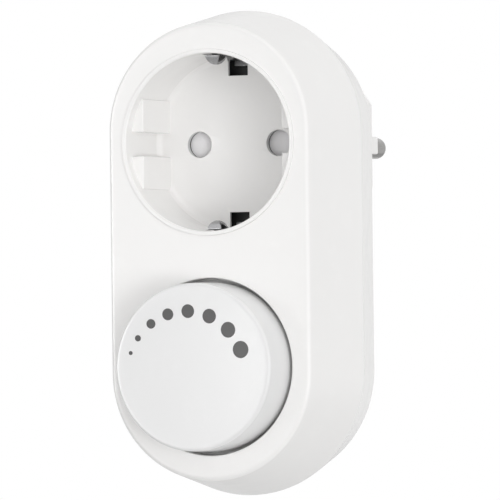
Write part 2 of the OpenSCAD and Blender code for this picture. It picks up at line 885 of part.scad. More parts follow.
// Two windings round the core, kept as plain sleeves
module choke_winding() {
    gap = 0.02;
    span = 130;
    color("peru")
    translate([choke_x, face_y, choke_z])
        rotate([-90, 0, 0])
            for (a = [25, 205])
                rotate([0, 0, a])
                    rotate_extrude(angle = span)
                        difference() {
                            translate([choke_in - winding_t, core_d - winding_t])
                                square([choke_r - choke_in + 2 * winding_t, choke_h + 2 * winding_t]);
                            translate([choke_in - gap, core_d - gap])
                                square([choke_r - choke_in + 2 * gap, choke_h + 2 * gap]);
                        }
}

// Suppression capacitor in its box
module capacitor() {
    color("gold")
        block(capacitor_x, capacitor_x + capacitor_size[0], board_back, board_back + capacitor_size[1],
              capacitor_z, capacitor_z + capacitor_size[2]);
}

// Triac on its three legs, flat against the heat sink
module triac() {
    d0 = board_back + triac_lift;
    mid_x = triac_x + triac_size[0] / 2;
    mid_z = sink_z - triac_size[2] / 2;
    color("darkslategray") {
        block(triac_x, triac_x + triac_size[0], d0, d0 + triac_size[1], sink_z - triac_size[2], sink_z);
        for (i = [-1, 0, 1])
            block(mid_x + i * leg_pitch - leg_w / 2, mid_x + i * leg_pitch + leg_w / 2,
                  board_back, d0 + leg_w, mid_z - leg_w / 2, mid_z + leg_w / 2);
    }
}

// Aluminium plate that cools the triac
module heat_sink() {
    color("lightgray")
        block(sink_x, sink_x + sink_size[0], board_back, board_back + sink_size[1],
              sink_z, sink_z + sink_size[2]);
}

// Glass tube of the fuse
module fuse_tube() {
    color("lightcyan")
    translate([-fuse_len / 2 + cap_len, face_y + fuse_d, fuse_z])
        rotate([0, 90, 0])
            cylinder(r = fuse_r - cap_step, h = fuse_len - 2 * cap_len);
}

// Metal caps of the fuse
module fuse_caps() {
    color("silver")
    for (x = [-fuse_len / 2, fuse_len / 2 - cap_len])
        translate([x, face_y + fuse_d, fuse_z])
            rotate([0, 90, 0])
                cylinder(r = fuse_r, h = cap_len);
}

// Spring clips that hold the fuse's caps on the board
module fuse_clips() {
    end_set = 0.5;
    clip_len = cap_len - 2 * end_set;
    clip_fit = 0.02;
    side_z = fuse_r + clip_fit;
    color("silver")
    for (x = [-fuse_len / 2 + end_set, fuse_len / 2 - cap_len + end_set])
        for (a = [-1, 1])
            translate([x, face_y + board_back, fuse_z])
                union() {
                    translate([0, 0, a > 0 ? side_z : -side_z - clip_wall])
                        cube([clip_len, fuse_d - board_back + fuse_r / 2, clip_wall]);
                    translate([0, 0, a > 0 ? 0 : -side_z])
                        cube([clip_len, clip_wall, side_z]);
                }
}

// Driver chip
module driver_chip() {
    color("black")
        block(-chip_size[0] / 2, chip_size[0] / 2, board_back, board_back + chip_size[1],
              chip_z, chip_z + chip_size[2]);
}

// Row of small resistors lying on the board
module resistors() {
    res_r = 0.9;
    res_len = 5;
    res_pitch = 2.6;
    res_down = 3.2;
    first_x = -post_x + peg_r + room;
    first_z = knob_z - res_down;
    color("burlywood")
    for (i = [0 : 2])
        translate([first_x, face_y + board_back + res_r, first_z - res_pitch * i])
            rotate([0, 90, 0])
                cylinder(r = res_r, h = res_len);
}

// Quarter bend of a wire in the YZ plane round a centre; q turns it a quarter at a time
module wire_elbow(x, d, z, q) {
    translate([x, face_y + d, z])
        rotate([90 * q, 0, 0])
            rotate([0, 90, 0])
                rotate_extrude(angle = 90)
                    translate([wire_bend, 0])
                        circle(wire_r);
}

// Straight wire down from z0 to z1 at depth d
module wire_down(x, d, z0, z1) {
    translate([x, face_y + d, z1])
        cylinder(r = wire_r, h = z0 - z1);
}

// Wire from the live pin's head, down behind the board, to the fuse
module line_wire() {
    start_d = live_head_d + collar_t / 2;
    b = wire_bend;
    color("saddlebrown") {
        wire_down(-pin_x, start_d, -collar_r, -line_drop + b);
        wire_elbow(-pin_x, start_d - b, -line_drop + b, 0);
        post(wire_r, line_d + b, start_d - b, -pin_x, -line_drop);
        wire_elbow(-pin_x, line_d + b, -line_drop - b, 2);
        wire_down(-pin_x, line_d, -line_drop - b, fuse_z + b);
        wire_elbow(-pin_x, line_d - b, fuse_z + b, 0);
        post(wire_r, fuse_d + fuse_r, line_d - b, -pin_x, fuse_z);
    }
}

// Wire from a contact's tab down to the board
module tab_wire(x) {
    b = wire_bend;
    wire_down(x, tab_d, tab_z, wire_land_z + b);
    wire_elbow(x, tab_d - b, wire_land_z + b, 0);
    post(wire_r, board_back, tab_d - b, x, wire_land_z);
}

// Wire from the board to the live contact
module load_wire() {
    color("black")
        tab_wire(-pin_x);
}

// Wire from the neutral contact to the board
module neutral_wire() {
    color("royalblue")
        tab_wire(pin_x);
}

// Four cross-head screws, driven from the back
module housing_screws() {
    slot_l = 2.8;
    slot_t = 0.7;
    slot_d = 0.9;
    color("dimgray")
    for (s = screws)
        difference() {
            union() {
                post(head_r, head_d, head_d + head_t, s[0], s[1]);
                post(screw_r - screw_gap / 2, screw_tip, head_d + head_t / 4, s[0], s[1]);
            }
            for (a = [0, 90])
                translate([s[0], 0, s[1]])
                    rotate([0, a, 0])
                        block(-slot_l / 2, slot_l / 2, head_d + head_t - slot_d, head_d + head_t + past,
                              -slot_t / 2, slot_t / 2);
        }
}

front_shell();
rear_shell();
plug_base();
socket_insert();
safety_shutter();
shutter_spring();
contact_carrier();
live_contact();
neutral_contact();
socket_earth_clip();
earth_link();
plug_earth_strap();
live_pin();
neutral_pin();
dimmer_knob();
pot_shaft();
pot_body();
pot_nut();
pot_terminals();
circuit_board();
choke_core();
choke_winding();
capacitor();
triac();
heat_sink();
fuse_tube();
fuse_caps();
fuse_clips();
driver_chip();
resistors();
line_wire();
load_wire();
neutral_wire();
housing_screws();
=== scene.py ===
import json
import math

import bmesh
import bpy
from mathutils import Matrix, Vector

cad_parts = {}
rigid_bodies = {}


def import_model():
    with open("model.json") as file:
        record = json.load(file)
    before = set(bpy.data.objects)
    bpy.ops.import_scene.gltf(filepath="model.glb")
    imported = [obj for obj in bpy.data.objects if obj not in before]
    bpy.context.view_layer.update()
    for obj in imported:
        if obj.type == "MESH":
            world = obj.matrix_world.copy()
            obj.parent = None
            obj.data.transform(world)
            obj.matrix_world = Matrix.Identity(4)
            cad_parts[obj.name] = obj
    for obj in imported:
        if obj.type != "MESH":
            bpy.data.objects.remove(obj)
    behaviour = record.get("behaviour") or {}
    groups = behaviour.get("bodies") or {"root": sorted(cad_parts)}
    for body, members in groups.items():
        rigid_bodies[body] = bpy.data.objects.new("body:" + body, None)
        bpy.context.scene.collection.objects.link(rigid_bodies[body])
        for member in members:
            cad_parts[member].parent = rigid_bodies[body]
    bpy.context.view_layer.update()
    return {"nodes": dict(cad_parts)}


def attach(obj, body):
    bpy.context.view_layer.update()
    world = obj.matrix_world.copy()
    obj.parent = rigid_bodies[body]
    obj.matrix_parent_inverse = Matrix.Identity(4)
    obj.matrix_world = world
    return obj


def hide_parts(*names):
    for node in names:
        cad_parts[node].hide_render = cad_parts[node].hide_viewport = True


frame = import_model()
print("frame loaded:", len(frame["nodes"]), "nodes")

mm = 0.001
near = 0.001        # places this close, in millimetres, count as one
facing = 0.9        # a normal with this much along an axis faces that way
plugReach = 56.5    # the plug's face is at y 0, this far behind the front face


# a place in metres, from millimetres across, behind the front face and up
def place(x, depth, z):
    return Vector((x * mm, (depth - plugReach) * mm, z * mm))


# the same the other way, to pick faces and edges by where they are
def measured(point):
    return point.x / mm, point.y / mm + plugReach, point.z / mm


# points of an arc in radius and depth, angles in degrees
def arcPoints(radiusAt, depthAt, size, start, end, steps):
    points = []
    for step in range(steps + 1):
        turn = math.radians(start + (end - start) * step / steps)
        points.append((radiusAt + size * math.cos(turn), depthAt + size * math.sin(turn)))
    return points


def leaveEdit():
    if bpy.context.mode != "OBJECT":
        bpy.ops.object.mode_set(mode="OBJECT")
    bpy.ops.object.select_all(action="DESELECT")


def emptyPiece(name):
    leaveEdit()
    bpy.ops.mesh.primitive_plane_add(size=mm)
    piece = bpy.context.object
    piece.name = piece.data.name = name
    bpy.ops.object.mode_set(mode="EDIT")
    bpy.ops.mesh.select_mode(type="VERT")
    bpy.ops.mesh.delete(type="VERT")
    return piece


# a plane merged to one point, then extruded from point to point
def drawLine(points):
    bpy.ops.mesh.primitive_plane_add(size=mm)
    bpy.ops.mesh.merge(type="CENTER")
    bpy.ops.transform.translate(value=points[0])
    for here, there in zip(points, points[1:]):
        bpy.ops.mesh.extrude_region_move(TRANSFORM_OT_translate={"value": there - here})
    bpy.ops.mesh.select_linked()


def extrudeBy(x, depth, z):
    bpy.ops.mesh.extrude_region_move(TRANSFORM_OT_translate={"value": (x * mm, depth * mm, z * mm)})


# a profile of radius and depth, turned once round an axis along y
def spinRound(profile, x, z, steps):
    drawLine([place(x + radius, depth, z) for radius, depth in profile])
    bpy.ops.mesh.spin(steps=steps, angle=2 * math.pi, center=place(x, 0, z), axis=(0, 1, 0))


def closeSeams():
    bpy.ops.mesh.select_mode(type="VERT")
    bpy.ops.mesh.select_all(action="SELECT")
    bpy.ops.mesh.remove_doubles(threshold=2 * near * mm)
    bpy.ops.mesh.normals_make_consistent(inside=False)


def selectFaces(piece, test):
    bpy.ops.mesh.select_mode(type="FACE")
    bpy.ops.mesh.select_all(action="DESELECT")
    cage = bmesh.from_edit_mesh(piece.data)
    for face in cage.faces:
        if test(*measured(face.calc_center_median()), face.normal):
            face.select_set(True)
    bmesh.update_edit_mesh(piece.data)


# fills the flat between the open edges at one depth, round any holes
def fillFlat(piece, depth):
    bpy.ops.mesh.select_mode(type="EDGE")
    bpy.ops.mesh.select_all(action="DESELECT")
    cage = bmesh.from_edit_mesh(piece.data)
    for edge in cage.edges:
        level = all(abs(measured(vert.co)[1] - depth) < near for vert in edge.verts)
        if level and len(edge.link_faces) < 2:
            edge.select_set(True)
    bmesh.update_edit_mesh(piece.data)
    bpy.ops.mesh.fill(use_beauty=False)
    bpy.ops.mesh.select_mode(type="VERT")


# cuts along a plane through a place, and clears the side that the normal points to when asked
def cutAlong(point, normal, clear=False):
    bpy.ops.mesh.select_all(action="SELECT")
    bpy.ops.mesh.bisect(plane_co=point, plane_no=normal, use_fill=clear, clear_outer=clear)


def applyModifier(piece, kind, **settings):
    bpy.ops.object.modifier_add(type=kind)
    modifier = piece.modifiers[-1]
    for key, value in settings.items():
        setattr(modifier, key, value)
    bpy.ops.object.modifier_apply(modifier=modifier.name)


def pick(piece):
    leaveEdit()
    piece.select_set(True)
    bpy.context.view_layer.objects.active = piece


def bevelSharp(piece, width, segments, angle):
    applyModifier(
        piece, "BEVEL", width=width * mm, segments=segments,
        limit_method="ANGLE", angle_limit=math.radians(angle),
    )


# joins or cuts with other pieces, which are then thrown away
def carve(piece, tools, operation):
    for tool in tools:
        pick(piece)
        applyModifier(piece, "BOOLEAN", object=tool, operation=operation, solver="EXACT")
        bpy.data.objects.remove(tool)


# smooth over shallow edges, with flat faces kept flat beside their rounds
def smoothPiece(piece, angle=32):
    pick(piece)
    bpy.ops.object.shade_smooth_by_angle(angle=math.radians(angle))
    applyModifier(piece, "WEIGHTED_NORMAL", keep_sharp=True)


def copyPiece(piece, name, shift):
    pick(piece)
    bpy.ops.object.duplicate(linked=False)
    copy = bpy.context.object
    copy.name = copy.data.name = name
    bpy.ops.transform.translate(value=shift)
    bpy.ops.object.transform_apply(location=True, rotation=False, scale=False)
    return copy


def hangOn(piece, body, slot, *nodes):
    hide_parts(*nodes)
    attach(piece, body)


# the camera stands to the right, level with the housing, far enough for a flat view
view = {
    "place": (0.600476, -1.430816, -0.045301),
    "right": (0.9186, 0.39498, -0.0124),
    "up": (0.01707, -0.0083, 0.99982),
    "ahead": (-0.39481, 0.91865, 0.01437),
    "lens": 493.6, "sensor": 36, "farthest": 20,
}
leaveEdit()
bpy.ops.object.camera_add()
camera = bpy.context.object
camera.name = "camera"
camera.data.sensor_width = view["sensor"]
camera.data.lens = view["lens"]
camera.data.clip_end = view["farthest"]
turned = Matrix((view["right"], view["up"], [-part for part in view["ahead"]])).transposed()
camera.matrix_world = Matrix.Translation(view["place"]) @ turned.to_4x4()
bpy.context.scene.camera = camera
print("camera set")

# round-ended housing: what both shells share
housing = {
    "halfWidth": 27.6, "parting": 21.5, "topZ": 2, "bottomZ": -50.2,
    "wall": 2.2, "seam": 0.15, "seamIn": 0.35, "seamOff": 0.3,
    "endSteps": 96, "sideShares": (0.02, 0.96, 0.02),
}


# a profile of half width and depth, carried over the top, down, round the bottom and up again
def sweepHousing(profile):
    drawLine([place(half, depth, housing["topZ"]) for half, depth in profile])
    straight = housing["topZ"] - housing["bottomZ"]
    for centreZ, along in ((housing["topZ"], -straight), (housing["bottomZ"], straight)):
        centre = place(0, 0, centreZ)
        bpy.ops.mesh.spin(steps=housing["endSteps"], angle=math.pi, center=centre, axis=(0, 1, 0))
        for share in housing["sideShares"]:
            extrudeBy(0, 0, along * share)
    closeSeams()


# the eased edge of a shell at the parting line, from the joint to the outside
def seamEdge(slope, side):
    half, parting, seam = housing["halfWidth"], housing["parting"], housing["seam"]
    return [
        (half - seam, parting),
        (half - seam * housing["seamIn"], parting + side * seam * housing["seamOff"]),
        (half - seam * slope, parting + side * seam),
    ]


frontCover = {
    "draft": 10.5, "round": 1, "roundSteps": 8, "rim": 0.3,
    "socketHole": 20.46, "well": 19.45, "wellZ": -49.2, "wellDepth": 5.4, "wellFloor": 1.7,
    "bushHole": 3.9, "wellOuter": 21.1, "holeRound": 0.04, "wellRound": 0.2, "border": 0.4,
    "holeSteps": 4, "sides": 160, "topReach": 0.55, "bottomReach": 0.3,
}


# carries the rounded ends of the front a little further out than its draft does,
# and less and less towards the parting line
def stretchEnds(piece, profile):
    ends = (
        (housing["topZ"], frontCover["topReach"], 1),
        (housing["bottomZ"], frontCover["bottomReach"], -1),
    )
    digits = 4
    for row in sorted({round(depth, digits) for half, depth in profile if depth < housing["parting"]}):
        share = 1 - row / housing["parting"]
        for centreZ, reach, side in ends:
            bpy.ops.mesh.select_all(action="DESELECT")
            cage = bmesh.from_edit_mesh(piece.data)
            for vert in cage.verts:
                x, depth, z = measured(vert.co)
                vert.select_set(abs(depth - row) < near and (z - centreZ) * side > -near)
            bmesh.update_edit_mesh(piece.data)
            bpy.ops.transform.translate(value=(0, 0, reach * share * side * mm))


def makeFrontCover():
    slope = math.tan(math.radians(frontCover["draft"]))
    parting, half, size = housing["parting"], housing["halfWidth"], frontCover["round"]
    corner = half - parting * slope
    flat = corner - size * math.tan(math.radians((90 - frontCover["draft"]) / 2))
    wall = housing["wall"]
    wallAcross = wall / math.cos(math.radians(frontCover["draft"]))
    profile = [(flat - frontCover["rim"], 0)]
    profile += arcPoints(flat, size, size, -90, -frontCover["draft"], frontCover["roundSteps"])
    profile += reversed(seamEdge(slope, -1))
    profile += [(half - wallAcross, parting), (corner + wall * slope - wallAcross, wall)]

    piece = emptyPiece("frontCover")
    sweepHousing(profile)
    stretchEnds(piece, profile)
    steps, sides, border = frontCover["holeSteps"], frontCover["sides"], frontCover["border"]
    edge, hole = frontCover["holeRound"], frontCover["socketHole"]
    spinRound(
        [(hole + edge + border, 0)]
        + arcPoints(hole + edge, edge, edge, -90, -180, steps) + [(hole, wall)],
        0, 0, sides,
    )
    floorBack = frontCover["wellDepth"] + frontCover["wellFloor"]
    edge, well = frontCover["wellRound"], frontCover["well"]
    bush, outer = frontCover["bushHole"], frontCover["wellOuter"]
    spinRound(
        [(well + edge + border, 0)]
        + arcPoints(well + edge, edge, edge, -90, -180, steps)
        + [(well, frontCover["wellDepth"]), (bush, frontCover["wellDepth"]), (bush, floorBack)]
        + [(outer, floorBack), (outer, wall)],
        0, frontCover["wellZ"], sides,
    )
    closeSeams()
    fillFlat(piece, 0)
    fillFlat(piece, wall)
    closeSeams()
    smoothPiece(piece)
    hangOn(piece, "housing", "white_plastic", "front_shell")
    return piece


plugBase = {
    "radius": 18.4, "flatX": 15.9, "ribWidth": 3.9, "ribStop": 54, "ribX": 18.3,
    "notchWidth": 6.4, "notchZ": 16.2, "pinX": 9.5, "pinSeat": 2.79, "seatMouth": 0.2, "seatDepth": 6,
    "gap": 0.1, "edge": 0.35, "edgeAngle": 40, "edgeSteps": 3, "arcSteps": 48, "sides": 180,
}
backCover = {
    "draft": 13, "round": 5.8, "roundSteps": 14, "depth": 39, "rim": 0.1,
    "screws": ((15.5, -26.5), (-15.5, -26.5), (9, -63.8), (-9, -63.8)),
    "screwWell": 2.7, "screwSeat": 26, "shankHole": 1.6, "wellRound": 0.15,
    "bossEnd": 24, "boss": 3.6, "bossJoin": 0.5, "overcut": 1,
}
toolSteps = {"mouth": 4, "hole": 64, "bar": 48}


# the plug's outline with its flats and ribs, seen along y
def plugOutline(grow):
    radius, flat = plugBase["radius"] + grow, plugBase["flatX"] + grow
    rib = plugBase["ribWidth"] / 2 + grow
    ribX = math.sqrt(radius ** 2 - rib ** 2)
    flatZ = math.sqrt(radius ** 2 - flat ** 2)
    rise = math.degrees(math.atan2(flatZ, flat))
    half = [(flat, -rib), (ribX, -rib), (ribX, rib), (flat, rib)]
    half += arcPoints(0, 0, radius, rise, 180 - rise, plugBase["arcSteps"])
    return half + [(-x, -z) for x, z in half]


# a tool for a round hole with a rounded mouth, going in from a face, and wider from a depth on
def holeTool(radius, mouth, x, z, face, inwards, reach, wider=0, widerFrom=0):
    tool = emptyPiece("holeTool")
    outside = face - inwards
    profile = [(0, outside), (radius + mouth, outside)]
    start, end = -90 * inwards, -180 * inwards
    profile += arcPoints(radius + mouth, face + inwards * mouth, mouth, start, end, toolSteps["mouth"])
    if wider:
        profile.append((radius, face + inwards * widerFrom))
        profile.append((radius + wider, face + inwards * widerFrom))
    profile += [(radius + wider, face + inwards * reach), (0, face + inwards * reach)]
    spinRound(profile, x, z, toolSteps["hole"])
    closeSeams()
    return tool


# a plain round bar between two depths
def barTool(radius, x, z, front, back):
    tool = emptyPiece("barTool")
    spinRound([(0, front), (radius, front), (radius, back), (0, back)], x, z, toolSteps["bar"])
    closeSeams()
    return tool


def makeBackCover():
    slope = math.tan(math.radians(backCover["draft"]))
    parting, half = housing["parting"], housing["halfWidth"]
    back, size = backCover["depth"], backCover["round"]
    inside = back - housing["wall"]
    corner = half - (back - parting) * slope
    flat = corner - size * math.tan(math.radians((90 - backCover["draft"]) / 2))
    wallAcross = housing["wall"] / math.cos(math.radians(backCover["draft"]))
    profile = [(half - (inside - parting) * slope - wallAcross, inside), (half - wallAcross, parting)]
    profile += seamEdge(slope, 1)
    profile += arcPoints(flat, back - size, size, backCover["draft"], 90, backCover["roundSteps"])
    profile += [(flat - backCover["rim"], back)]

    piece = emptyPiece("backCover")
    sweepHousing(profile)
    outline = [place(x, back, z) for x, z in plugOutline(plugBase["gap"])]
    drawLine(outline + outline[:1])
    extrudeBy(0, -housing["wall"], 0)
    closeSeams()
    fillFlat(piece, back)
    fillFlat(piece, inside)
    closeSeams()
    bosses, wells = [], []
    seat, bossEnd, over = backCover["screwSeat"], backCover["bossEnd"], backCover["overcut"]
    for x, z in backCover["screws"]:
        bosses.append(barTool(backCover["boss"], x, z, bossEnd, inside + backCover["bossJoin"]))
        wells.append(holeTool(backCover["screwWell"], backCover["wellRound"], x, z, back, -1, back - seat))
        wells.append(barTool(backCover["shankHole"], x, z, bossEnd - over, seat + over))
    carve(piece, bosses, "UNION")
    carve(piece, wells, "DIFFERENCE")
    smoothPiece(piece)
    hangOn(piece, "housing", "white_plastic", "rear_shell")
    return piece


def makePlugBase():
    back, inside = backCover["depth"], backCover["depth"] - housing["wall"]
    rib, notch, notchZ = plugBase["ribWidth"] / 2, plugBase["notchWidth"] / 2, plugBase["notchZ"]
    leaveEdit()
    bpy.ops.mesh.primitive_cylinder_add(
        vertices=plugBase["sides"], radius=plugBase["radius"] * mm, depth=housing["wall"] * mm,
        location=place(0, (back + inside) / 2, 0), rotation=(math.pi / 2, 0, 0),
    )
    piece = bpy.context.object
    piece.name = piece.data.name = "plugBase"
    bpy.ops.object.transform_apply(location=True, rotation=True, scale=True)
    bpy.ops.object.mode_set(mode="EDIT")
    for side in (1, -1):
        cutAlong(place(side * plugBase["flatX"], 0, 0), (side, 0, 0), clear=True)
    for side in (1, -1):
        cutAlong(place(side * notch, 0, 0), (1, 0, 0))
        cutAlong(place(0, 0, side * notchZ), (0, 0, 1))
        cutAlong(place(0, 0, side * rib), (0, 0, 1))
    # all of the back face but the two notches goes out to the plug's face
    selectFaces(piece, lambda x, d, z, n: n.y > facing and not (abs(x) < notch and abs(z) > notchZ))
    extrudeBy(0, plugBase["ribStop"] - back, 0)
    extrudeBy(0, plugReach - plugBase["ribStop"], 0)
    for side in (1, -1):
        selectFaces(
            piece,
            lambda x, d, z, n: n.x * side > facing and abs(z) < rib and d < plugBase["ribStop"],
        )
        extrudeBy(side * (plugBase["ribX"] - plugBase["flatX"]), 0, 0)
    closeSeams()
    bpy.ops.object.mode_set(mode="OBJECT")
    bevelSharp(piece, plugBase["edge"], plugBase["edgeSteps"], plugBase["edgeAngle"])
    seats = []
    for side in (1, -1):
        seats.append(holeTool(
            plugBase["pinSeat"], plugBase["seatMouth"], side * plugBase["pinX"], 0,
            plugReach, -1, plugBase["seatDepth"],
        ))
    carve(piece, seats, "DIFFERENCE")
    smoothPiece(piece)
    hangOn(piece, "housing", "white_plastic", "plug_base")
    return piece


plugPin = {
    "radius": 2.4, "root": 2.75, "rootEdge": 0.1, "start": 42, "length": 19, "shoulder": 0.4,
    "tipRound": 1.44, "tipSteps": 10, "x": 9.5, "sides": 64,
}


def makePlugPins():
    radius, tip = plugPin["radius"], plugReach + plugPin["length"]
    size, start = plugPin["tipRound"], plugPin["start"]
    root, edge = plugPin["root"], plugPin["rootEdge"]
    piece = emptyPiece("livePin")
    spinRound(
        [(0, start), (root, start), (root, plugReach - edge), (root - edge, plugReach)]
        + [(radius, plugReach), (radius, plugReach + plugPin["shoulder"])]
        + arcPoints(radius - size, tip - size, size, 0, 90, plugPin["tipSteps"]) + [(0, tip)],
        -plugPin["x"], 0, plugPin["sides"],
    )
    closeSeams()
    smoothPiece(piece)
    other = copyPiece(piece, "neutralPin", (2 * plugPin["x"] * mm, 0, 0))
    hangOn(piece, "housing", "nickel", "live_pin")
    hangOn(other, "housing", "nickel", "neutral_pin")
    return piece, other


socketCup = {
    "recess": 19.5, "outer": 20.45, "lip": -0.3, "lipRound": 0.3, "outRound": 0.12,
    "depth": 17.4, "floorBack": 19.4, "flange": 22.4, "skirtIn": 19.05, "skirtEnd": 23.4, "corner": 1.3,
    "lipRun": 0.4, "roundSteps": 8, "outSteps": 6, "sides": 192, "overcut": 1,
    "pinX": 9.5, "pinHole": 2.9, "pinMouth": 0.1, "pinReach": 4, "pinRelief": 0.35, "reliefDepth": 0.2,
    "windowWidth": 4.7, "windowZ": 15.1, "windowEnd": 21.2, "windowEdge": 0.35, "windowRelief": 0.5,
    "slotWidth": 5.0, "slotFront": 2.25, "slotReach": 6,
    "blockX": 16.6, "blockLow": 2.65, "blockHigh": 9.9, "blockFront": 2.7, "blockEdge": 0.3,
    "blockSink": 0.4, "blockSides": 320, "edgeAngle": 40, "edgeSteps": 3,
}


# a block that reaches into the cup's wall, cut from a round bar
def makeGuideBlock():
    sink = socketCup["blockSink"]
    front, deep = socketCup["blockFront"], socketCup["depth"] + sink
    leaveEdit()
    bpy.ops.mesh.primitive_cylinder_add(
        vertices=socketCup["blockSides"],
        radius=(socketCup["recess"] + sink) * mm, depth=(deep - front) * mm,
        location=place(0, (deep + front) / 2, 0), rotation=(math.pi / 2, 0, 0),
    )
    block = bpy.context.object
    bpy.ops.object.transform_apply(location=True, rotation=True, scale=True)
    bpy.ops.object.mode_set(mode="EDIT")
    cutAlong(place(socketCup["blockX"], 0, 0), (-1, 0, 0), clear=True)
    cutAlong(place(0, 0, socketCup["blockLow"]), (0, 0, -1), clear=True)
    cutAlong(place(0, 0, socketCup["blockHigh"]), (0, 0, 1), clear=True)
    closeSeams()
    bpy.ops.object.mode_set(mode="OBJECT")
    bevelSharp(block, socketCup["blockEdge"], socketCup["edgeSteps"], socketCup["edgeAngle"])
    return block


# the same block on the other three sides of the cup
def mirrorBlock(block, alongX, alongZ):
    copy = copyPiece(block, "guideBlock", (0, 0, 0))
    bpy.ops.object.mode_set(mode="EDIT")
    bpy.ops.mesh.select_all(action="SELECT")
    bpy.ops.transform.resize(value=(alongX, 1, alongZ), center_override=(0, 0, 0))
    bpy.ops.mesh.normals_make_consistent(inside=False)
    bpy.ops.object.mode_set(mode="OBJECT")
    return copy


def boxTool(width, front, back, low, high):
    leaveEdit()
    bpy.ops.mesh.primitive_cube_add(size=1, location=place(0, (front + back) / 2, (low + high) / 2))
    tool = bpy.context.object
    bpy.ops.transform.resize(value=(width * mm, (back - front) * mm, abs(high - low) * mm))
    bpy.ops.object.transform_apply(location=True, rotation=True, scale=True)
    return tool


def makeSocketCup():
    recess, outer, lip = socketCup["recess"], socketCup["outer"], socketCup["lip"]
    lipRound, outRound, corner = socketCup["lipRound"], socketCup["outRound"], socketCup["corner"]
    depth, back, flange = socketCup["depth"], socketCup["floorBack"], socketCup["flange"]
    steps, over = socketCup["roundSteps"], socketCup["overcut"]
    piece = emptyPiece("socketCup")
    spinRound(
        [(0, depth)] + arcPoints(recess - corner, depth - corner, corner, 90, 0, steps)
        + [(recess, lip + lipRound + socketCup["lipRun"])]
        + arcPoints(recess + lipRound, lip + lipRound, lipRound, 180, 270, steps)
        + arcPoints(outer - outRound, lip + outRound, outRound, -90, 0, socketCup["outSteps"])
        + [(outer, depth), (flange, depth), (flange, back), (outer, back)]
        + [(outer, socketCup["skirtEnd"]), (socketCup["skirtIn"], socketCup["skirtEnd"])]
        + [(socketCup["skirtIn"], back), (0, back)],
        0, 0, socketCup["sides"],
    )
    closeSeams()
    block = makeGuideBlock()
    blocks = [block] + [mirrorBlock(block, x, z) for x, z in ((-1, 1), (1, -1), (-1, -1))]
    carve(piece, blocks, "UNION")
    tools = []
    for side in (1, -1):
        tools.append(holeTool(
            socketCup["pinHole"], socketCup["pinMouth"], side * socketCup["pinX"], 0,
            depth, 1, socketCup["pinReach"], socketCup["pinRelief"], socketCup["reliefDepth"],
        ))
        low, high = side * socketCup["windowZ"], side * socketCup["windowEnd"]
        relief, behind = socketCup["windowRelief"], depth + socketCup["windowEdge"]
        width = socketCup["windowWidth"]
        tools.append(boxTool(width, depth - over, back + over, low, high))
        tools.append(boxTool(width + 2 * relief, behind, back + over, low - side * relief, high))
        wallIn, wallOut = side * (recess - over), side * (outer + over)
        slotBack = back + socketCup["slotReach"]
        tools.append(boxTool(socketCup["slotWidth"], socketCup["slotFront"], slotBack, wallIn, wallOut))
    carve(piece, tools, "DIFFERENCE")
    smoothPiece(piece)
    hangOn(piece, "housing", "white_plastic", "socket_insert")
    return piece


# painted shade: a grey ring that stands for the shaded wall of each pin hole
pinShadeSleeve = {
    "name": "pinShadeSleeve", "slot": "grey_plastic", "sides": 64,
    "inner": 2.9, "outer": 3.25, "front": 17.6, "back": 18.75,
}
# painted shadow: a dark ring that stands for the shadowed gap behind each pin hole's edge
pinShadowCollar = {
    "name": "pinShadowCollar", "slot": "dark_plastic", "sides": 64,
    "inner": 2.96, "outer": 3.25, "front": 18.75, "back": 19.38,
}


# a ring in each pin hole: a grey one behind the edge, whose grey is painted shade for the shaded hole wall,
# and behind it a dark one in the carrier's black, a painted shadow for the dark gap round the shutter
def makePinRings(ring):
    inner, outer, front, back = (ring[key] for key in ("inner", "outer", "front", "back"))
    section = [(inner, front), (outer, front), (outer, back), (inner, back), (inner, front)]
    piece = emptyPiece(ring["name"])
    spinRound(section, socketCup["pinX"], 0, ring["sides"])
    closeSeams()
    smoothPiece(piece)
    other = copyPiece(piece, ring["name"] + "Left", (-2 * socketCup["pinX"] * mm, 0, 0))
    for each in (piece, other):
        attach(each, "housing")
    return piece, other


earthClip = {
    "width": 4.5, "thick": 0.6, "armZ": 20.05, "armRow": 6, "rows": 8,
    "barDepth": 25.2, "barRow": 10, "cornerRound": 0.7, "cornerSteps": 6,
    "bend": ((0.9, 0), (0.25, 0.08)), "edge": 0.08, "edgeSteps": 2, "edgeAngle": 55, "smoothAngle": 40,
    "noseDepth": 5.2, "noseZ": 19.75, "noseReach": 2.0, "noseDrop": 2.35, "noseWidth": 1.75,
    "noseSteps": 28, "noseTurn": 165, "noseTaper": 0.96,
    "tongue": ((21.0, 19.9), (20.6, 19.2), (20.2, 18.0), (20.05, 17.3)), "tongueWidth": 1.9,
}


